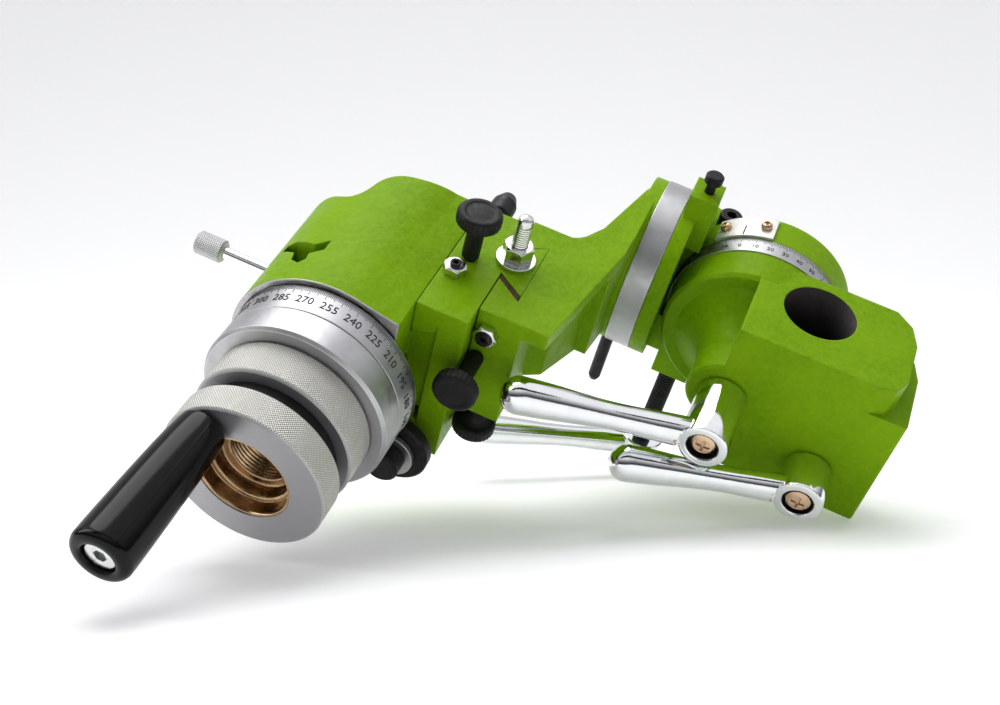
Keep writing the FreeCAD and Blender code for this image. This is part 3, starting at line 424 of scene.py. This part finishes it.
# ------------------------------------------------------------------------------- knobs and studs
def make_thumb(name, start, axis, depth, reach, body):
    """A crowned disc with a lightly fluted rim on a flared neck: the rim radius is
    10.35 + 0.15 cos(30 x angle), only where the radius is past 9.8."""
    edge = reach + 7.5
    bottom = eased([(reach - 1.8, 5.2), (reach - 0.2, 7.2), (reach + 0.2, 9.2), (reach + 1.3, 10.3)], 5)
    crown = eased([(edge - 1.7, 10.3), (edge - 0.5, 9.2), (edge - 0.35, 7.4), (edge - 0.7, 6.2),
                   (edge - 0.5, 3.0), (edge - 0.4, 0)], 5)
    profile = np.vstack([[(-depth, 0), (-depth, 3.0), (1.5, 3.0), (1.5, 4.1), (reach - 4.5, 4.1)],
                         bottom, crown])
    profile[-1, 1] = 0

    def flutes(along, angle):
        return 0.15 * np.cos(30 * angle) * ((along > reach + 1.0) & (along < edge - 1.5))

    turned(name, profile, start, axis, "black_plastic", body, (body,), 180, flutes)


make_thumb("top_thumb_moulded", (38.7, 60, 42), (0, 0, 1), 9.0, 20.0, "top_thumb_screw")
make_thumb("front_thumb_moulded", (59.6, 31, 14.4), (0, -1, 0), 18.0, 21.0, "front_thumb_screw")
make_thumb("lower_thumb_moulded", (65.8, 36.5, -20.5), (0, 0, -1), 12.0, 9.0, "lower_thumb_screw")

stud_profile = np.vstack([[(0, 0), (0, 4.2)], straight(0.8, 80.4, 5.0, 520), [(81, 4.2), (81, 0)]])
turned("elbow_stud_threaded", stud_profile, (140.6, 156, -127), (0, 0, 1), "black_oxide", "elbow",
       ("elbow_stud",), 40, helix(1.9, 0.75, 17.0, 72.0), sharp=60.0)
lift_profile = np.vstack([[(0, 0), (0, 4.0)], straight(1, 43.0, 4.0, 300),
                          eased([(44.2, 3.9), (46.6, 2.9), (47.9, 0)], 5)])
lift_profile[-1, 1] = 0
turned("lift_stud_threaded", lift_profile, (57.5, 70, 21), (0, 0, 1), "zinc", "cross_block",
       ("lift_stud",), 40, helix(1.25, 0.35, 30.0, 44.0), sharp=60.0)


# ------------------------------------------------------------------------------- clamp casting
rise = np.linspace(0, 1, 26)
sweep = np.vstack([[(106.0, 0)], np.column_stack([106.0 + 23.6 * rise, 18.35 + 19.0 * rise ** 2.4]),
                   [(129.6, 0)]])
points, faces = revolve(sweep, (PAN_X, 0, 0), (0, 1, 0), 120)
points[:, 0] = np.minimum(points[:, 0], 172.0)  # short of the column bore
build("boss_sweep", points, faces, "green_enamel", "clamp_block")
# A near-black sleeve lines the column bore: the machined bore darkened into painted shade for the inside
# of the bore.
bore_wall = np.array([(-41.9, 18.02), (-41.6, 17.92), (41.6, 17.92), (41.9, 18.02), (-41.9, 18.02)])
turned("column_bore_wall", bore_wall, (196, 121, 0), (0, 0, 1), "bright_steel", "clamp_block", (),
       128, material=BORE_METAL_AND_SHADE)


# ------------------------------------------------------------------------------- wheel and grip
collar = np.vstack([[(-73.8, 20.9), (-73.8, 22), (-58.7, 22), (-58.7, 18.2), (-40, 18.2), (-40, 14.2),
                     (-47.2, 14.2)],
                    straight(-47.4, -59.6, 14.0, 150),
                    eased([(-59.9, 14.3), (-60.2, 16.4), (-60.9, 17.3), (-63.5, 17.5),
                           (-66.2, 17.8), (-66.9, 19.2), (-67.3, 20.2), (-73.2, 20.5)], 5),
                    [(-73.8, 20.9)]])


def collar_thread(along, angle):
    """The collar's inner thread: radius drops by 0.85 times a triangle wave of
    along / 1.8 - angle / turn, on the threaded stretch only."""
    wave = np.abs(2 * ((along / 1.8 - angle / (2 * math.pi)) % 1.0) - 1)
    return -0.85 * wave * ((along > -59.7) & (along < -47.3))


turned("draw_collar_threaded", collar, (0, 0, 0), (0, 1, 0), "brass", "draw_wheel", ("draw_collar",),
       120, collar_thread, sharp=50.0)

grip = np.vstack([[(-75.2, 4.1), (-75.2, 7.6)],
                  eased([(-75.5, 8.6), (-76.3, 9.8), (-78.5, 10.6), (-90, 11.5), (-110, 12.35),
                         (-130, 12.9), (-144.5, 13.15), (-147.6, 12.8), (-149.2, 11.6),
                         (-149.8, 9.9), (-149.7, 8.0), (-149.1, 7.3)], 6),
                  [(-146.4, 7.2), (-146.4, 4.1), (-75.2, 4.1)]])


def seam(along, angle):
    """A low moulding seam down both sides: 0.16 exp(-(angle off the seam / 0.022)^2)."""
    off = np.minimum(np.abs(angle - 2.05), np.abs(angle - 2.05 - math.pi))
    return 0.16 * np.exp(-(off / 0.022) ** 2) * ((along > -147) & (along < -79))


turned("handle_grip_moulded", grip, (-18, 0, 22), (0, 1, 0), "gloss_plastic", "handle_grip",
       ("handle_grip",), 240, seam)


# ------------------------------------------------------------------------------- scales
def ticks(name, angles, lengths, y_edge, toward, radius_at, centre_x, width, body):
    """Thin bars laid round a ring: each is a box of eight corners at its own angle, running from
    y_edge along Y and standing 0.1 mm proud of radius_at(y)."""
    angles = np.radians(np.asarray(angles, float))
    corners = []
    for across in (-0.5, 0.5):
        for reach in (0.0, 1.0):
            y = y_edge + toward * reach * np.asarray(lengths, float)
            for lift in (-0.1, 0.1):
                radius = radius_at(y) + lift
                turn = angles + across * width / radius
                corners.append(np.stack([centre_x + radius * np.sin(turn), y,
                                         radius * np.cos(turn)], -1))
    points = np.stack(corners, 1).reshape(-1, 3)
    box = np.array([(0, 1, 3, 2), (4, 6, 7, 5), (0, 4, 5, 1), (2, 3, 7, 6), (0, 2, 6, 4), (1, 5, 7, 3)])
    faces = (box[None] + 8 * np.arange(len(angles))[:, None, None]).reshape(-1, 4)
    build(name, points, faces, "black_oxide", body, material=INK)


def figures(name, labels, size, y_base, radius_at, centre_x, body):
    """Figures bent round a ring: a letter's x becomes an angle x / radius and its y a step
    along Y, in a layer 0.12 mm proud of the ring."""
    points = []
    faces = []
    total = 0
    for text, degrees in labels:
        curve = bpy.data.curves.new(name, "FONT")
        curve.body = text
        curve.size = size
        curve.align_x = "CENTER"
        curve.extrude = 0.07
        curve.resolution_u = 2
        holder = bpy.data.objects.new(name, curve)
        flat = bpy.data.meshes.new_from_object(holder)
        corner = np.empty(len(flat.vertices) * 3)
        flat.vertices.foreach_get("co", corner)
        corner = corner.reshape(-1, 3)
        flat.calc_loop_triangles()
        triangle = np.empty(len(flat.loop_triangles) * 3, int)
        flat.loop_triangles.foreach_get("vertices", triangle)
        y = y_base + corner[:, 1]
        radius = radius_at(y)
        turn = math.radians(degrees) + corner[:, 0] / radius
        lifted = radius + corner[:, 2] + 0.05
        points.append(np.stack([centre_x + lifted * np.sin(turn), y, lifted * np.cos(turn)], -1))
        faces.append(triangle.reshape(-1, 3) + total)
        total += len(corner)
        bpy.data.objects.remove(holder)
        bpy.data.curves.remove(curve)
        bpy.data.meshes.remove(flat)
    build(name, np.vstack(points), np.vstack(faces), "black_oxide", body, material=INK)


def ring_radius(y):
    """The degree ring's radius, which grows from 43.5 to 45 towards the back."""
    return 43.5 + 1.5 * (y + 13.9) / 13.9


def dial_radius(y):
    """The pan dial's radius, the same all along."""
    return np.full(np.shape(y), SWIVEL_R)


def plate_radius(y):
    """The zero plate's outer radius, the same all along."""
    return np.full(np.shape(y), 45.65)


every = np.arange(360)
ring_lengths = np.where(every % 10 == 0, 4.2, np.where(every % 5 == 0, 3.4, 2.3))
RING_ZERO = 256.5  # where the degree ring's zero stands round the spindle, in degrees
PAN_ZERO = -27.5   # where the pan dial's zero stands round the pan axis
ticks("degree_ring_lines", RING_ZERO - every, ring_lengths, -0.4, -1.0, ring_radius, 0.0, 0.22,
      "spindle")
figures("degree_ring_figures", [(str(value), RING_ZERO - value) for value in range(0, 360, 15)],
        5.6, -9.6, ring_radius, 0.0, "spindle")
pan_steps = np.arange(-90, 91)
pan_lengths = np.where(pan_steps % 10 == 0, 3.8, np.where(pan_steps % 5 == 0, 3.0, 2.0))
ticks("pan_dial_lines", pan_steps + PAN_ZERO, pan_lengths, 157.0, -1.0, dial_radius, PAN_X, 0.22,
      "clamp_block")
figures("pan_dial_figures", [(str(abs(step)), step + PAN_ZERO) for step in range(-90, 91, 10)],
        3.6, 149.6, dial_radius, PAN_X, "clamp_block")

ticks("zero_plate_line", [PAN_ZERO], [8.0], 158.6, 1.0, plate_radius, PAN_X, 0.6, "elbow")


# ------------------------------------------------------------------------------- stage and camera
RIGHT = np.array([0.911, 0.3606, 0.2])
UP = np.array([-0.346, 0.547, 0.762])
NEAR = np.cross(RIGHT, UP)
MIDDLE = np.array([-0.1, -0.05, -0.02])


def studio(right, up, near):
    """A place in the studio, in metres right of, above and in front of the head's middle."""
    return MIDDLE + right * RIGHT + up * UP + near * NEAR


def area_light(name, place, width, height, power):
    """A soft rectangular lamp that faces the head."""
    lamp = bpy.data.lights.new(name, "AREA")
    lamp.shape = "RECTANGLE"
    lamp.size = width
    lamp.size_y = height
    lamp.energy = power
    holder = bpy.data.objects.new(name, lamp)
    holder.location = place
    holder.rotation_euler = Vector(MIDDLE - place).to_track_quat("-Z", "Y").to_euler()
    bpy.context.scene.collection.objects.link(holder)


def make_floor():
    """A plain pale sheet under the head's three points of rest: the wheel rim, the lever hub and
    the shelf of the block. It sweeps up far behind, and is seen from its upper side only."""
    rest = (np.array([250.6, 86.8, -42.0]) - ORIGIN) / 1000 - 0.0006 * UP
    bend = np.radians(np.linspace(0, 80, 17))
    back = np.concatenate([[5.0], -0.9 - 1.4 * np.sin(bend), [-4.0]])
    height = np.concatenate([[0.0], 1.4 - 1.4 * np.cos(bend), [9.0]])
    line = rest + back[:, None] * NEAR + height[:, None] * UP
    points = np.stack([line - 6 * RIGHT, line + 6 * RIGHT], 1).reshape(-1, 3)
    row = 2 * np.arange(len(line) - 1)[:, None]
    mesh = bpy.data.meshes.new("studio_floor")
    mesh.from_pydata(points.tolist(), [], (row + np.array([0, 1, 3, 2])).tolist())
    mesh.shade_smooth()
    if mesh.polygons[0].normal.dot(Vector(UP)) < 0:
        mesh.flip_normals()
    floor = bpy.data.objects.new("studio_floor", mesh)
    bpy.context.scene.collection.objects.link(floor)
    finish = Finish("studio_floor", (0.86, 0.86, 0.865), 0.0, 0.7)
    finish.paint(finish.blend(finish.noise(6.0), (0.86, 0.86, 0.865), (0.88, 0.88, 0.885)))
    clear = finish.add("ShaderNodeBsdfTransparent")
    either = finish.add("ShaderNodeMixShader")
    finish.join(finish.add("ShaderNodeNewGeometry").outputs["Backfacing"], either.inputs[0])
    finish.join(finish.shader.outputs[0], either.inputs[1])
    finish.join(clear.outputs[0], either.inputs[2])
    finish.join(either.outputs[0], finish.tree.nodes["Material Output"].inputs["Surface"])
    finish.shader.inputs["Emission Color"].default_value = (0.98, 0.985, 1.0, 1.0)
    finish.shader.inputs["Emission Strength"].default_value = 0.15
    mesh.materials.append(finish.material)


def make_world():
    """A white room, brighter overhead than below and in front."""
    world = bpy.data.worlds.new("studio")
    world.use_nodes = True
    tree = world.node_tree
    ground = tree.nodes["Background"]
    ground.inputs["Color"].default_value = (0.98, 0.985, 1.0, 1.0)
    way = tree.nodes.new("ShaderNodeTexCoord")
    height = tree.nodes.new("ShaderNodeVectorMath")
    height.operation = "DOT_PRODUCT"
    height.inputs[1].default_value = UP - 0.1 * NEAR
    tree.links.new(way.outputs["Generated"], height.inputs[0])
    fade = tree.nodes.new("ShaderNodeMapRange")
    fade.interpolation_type = "SMOOTHSTEP"
    fade.inputs["From Min"].default_value = 0.0
    fade.inputs["From Max"].default_value = 0.7
    fade.inputs["To Min"].default_value = 0.07
    fade.inputs["To Max"].default_value = 0.85
    tree.links.new(height.outputs["Value"], fade.inputs["Value"])
    seen = tree.nodes.new("ShaderNodeLightPath")
    choose = tree.nodes.new("ShaderNodeMix")
    tree.links.new(seen.outputs["Is Camera Ray"], choose.inputs[0])
    tree.links.new(fade.outputs["Result"], choose.inputs[2])
    choose.inputs[3].default_value = 0.9  # how bright the room looks behind the floor
    tree.links.new(choose.outputs[0], ground.inputs["Strength"])
    bpy.context.scene.world = world


def dark_flag(name, place, width, height):
    """A black card out of view that the chrome reflects: a flat square-on rectangle."""
    facing = (MIDDLE - place) / np.linalg.norm(MIDDLE - place)
    across = np.cross(facing, UP)
    across /= np.linalg.norm(across)
    rise = np.cross(across, facing)
    corners = [place + a * width / 2 * across + b * height / 2 * rise
               for a, b in ((-1, -1), (1, -1), (1, 1), (-1, 1))]
    mesh = bpy.data.meshes.new(name)
    mesh.from_pydata([tuple(corner) for corner in corners], [], [(0, 1, 2, 3)])
    card = bpy.data.objects.new(name, mesh)
    bpy.context.scene.collection.objects.link(card)
    mesh.materials.append(FINISHES["fibre"])


make_floor()
make_world()
dark_flag("upper_flag", studio(0.0, 1.0, 0.95), 2.4, 0.3)
dark_flag("side_flag", studio(1.3, 0.35, 0.7), 0.3, 0.7)
area_light("overhead", studio(-0.25, 1.2, -0.15), 1.2, 0.9, 7.8)
area_light("left_strip", studio(-1.0, 0.6, 0.3), 0.15, 1.0, 1.6)
bpy.context.scene.view_settings.view_transform = "Standard"
bpy.context.scene.view_settings.look = "Medium High Contrast"

# The camera stands in front of the wheel and above it, turned with the head at rest.
camera = bpy.data.objects.new("camera", bpy.data.cameras.new("camera"))
camera.data.lens = 48.11
camera.data.sensor_width = 36.0
camera.matrix_world = Matrix(((0.911, -0.3912, 0.1304, -0.0484),
                              (0.3606, 0.6023, -0.7121, -0.5156),
                              (0.2, 0.6958, 0.6898, 0.4344),
                              (0, 0, 0, 1)))
bpy.context.scene.collection.objects.link(camera)
bpy.context.scene.camera = camera
